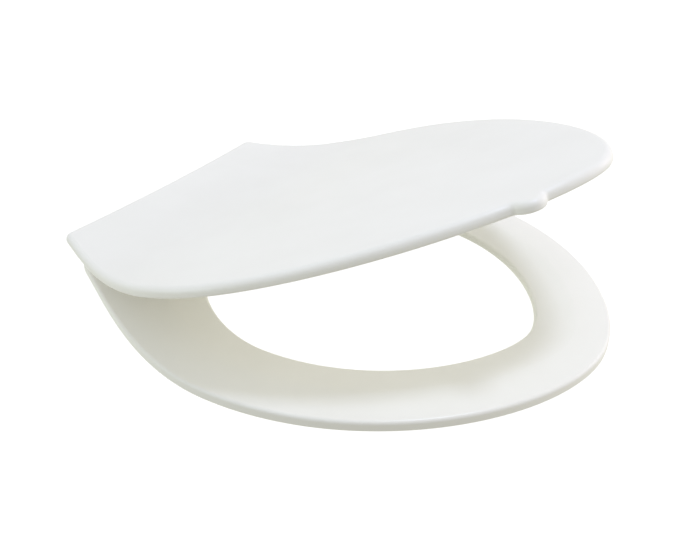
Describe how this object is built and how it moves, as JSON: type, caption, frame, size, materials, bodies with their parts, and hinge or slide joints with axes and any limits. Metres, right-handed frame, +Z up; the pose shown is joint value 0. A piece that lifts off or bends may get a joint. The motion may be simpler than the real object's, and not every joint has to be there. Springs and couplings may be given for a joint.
{
  "type": "toilet seat",
  "caption": "Egg-shaped white toilet seat: a dished ring under a hinged lid with a raised hood at the back and a finger tab on its front edge, on posts that bolt to the pan.",
  "frame": {"origin": "midway between the two pan bolts, on the deck of the pan", "axes": "+Z up from the deck, +X to the right as seen from the front, front towards -Y, hinge line along X"},
  "size_m": [0.3672, 0.4063, 0.162],
  "materials": {
    "lid_plastic": "gloss",
    "ring_plastic": "gloss",
    "post_plastic": "satin",
    "pin_steel": "brushed",
    "insert_brass": "machined",
    "pad_rubber": "matte",
    "bush_nylon": "matte",
    "buffer_rubber": "matte"
  },
  "bodies": {
    "fixings": {"hinge_post_left": "post_plastic", "hinge_pin_left": "pin_steel", "thread_insert_left": "insert_brass", "base_pad_left": "pad_rubber", "hinge_post_right": "post_plastic", "hinge_pin_right": "pin_steel", "thread_insert_right": "insert_brass", "base_pad_right": "pad_rubber"},
    "ring": {"seat_ring": "ring_plastic", "ring_bush_left": "bush_nylon", "ring_bush_right": "bush_nylon", "ring_buffer_front_left": "buffer_rubber", "ring_buffer_front_right": "buffer_rubber", "ring_buffer_rear_left": "buffer_rubber", "ring_buffer_rear_right": "buffer_rubber"},
    "lid": {"lid": "lid_plastic", "lid_bush_left": "bush_nylon", "lid_bush_right": "bush_nylon", "lid_buffer_front_left": "buffer_rubber", "lid_buffer_front_right": "buffer_rubber", "lid_buffer_rear_left": "buffer_rubber", "lid_buffer_rear_right": "buffer_rubber"}
  },
  "joints": [
    {"name": "ring_hinge", "type": "hinge", "parent": "fixings", "child": "ring", "pos_m": [0, 0, 0.02], "axis": [-1, 0, 0], "range_deg": [0, 95]},
    {"name": "lid_hinge", "type": "hinge", "parent": "ring", "child": "lid", "pos_m": [0, 0, 0.02], "axis": [-1, 0, 0], "range_deg": [-20, 80]}
  ]
}
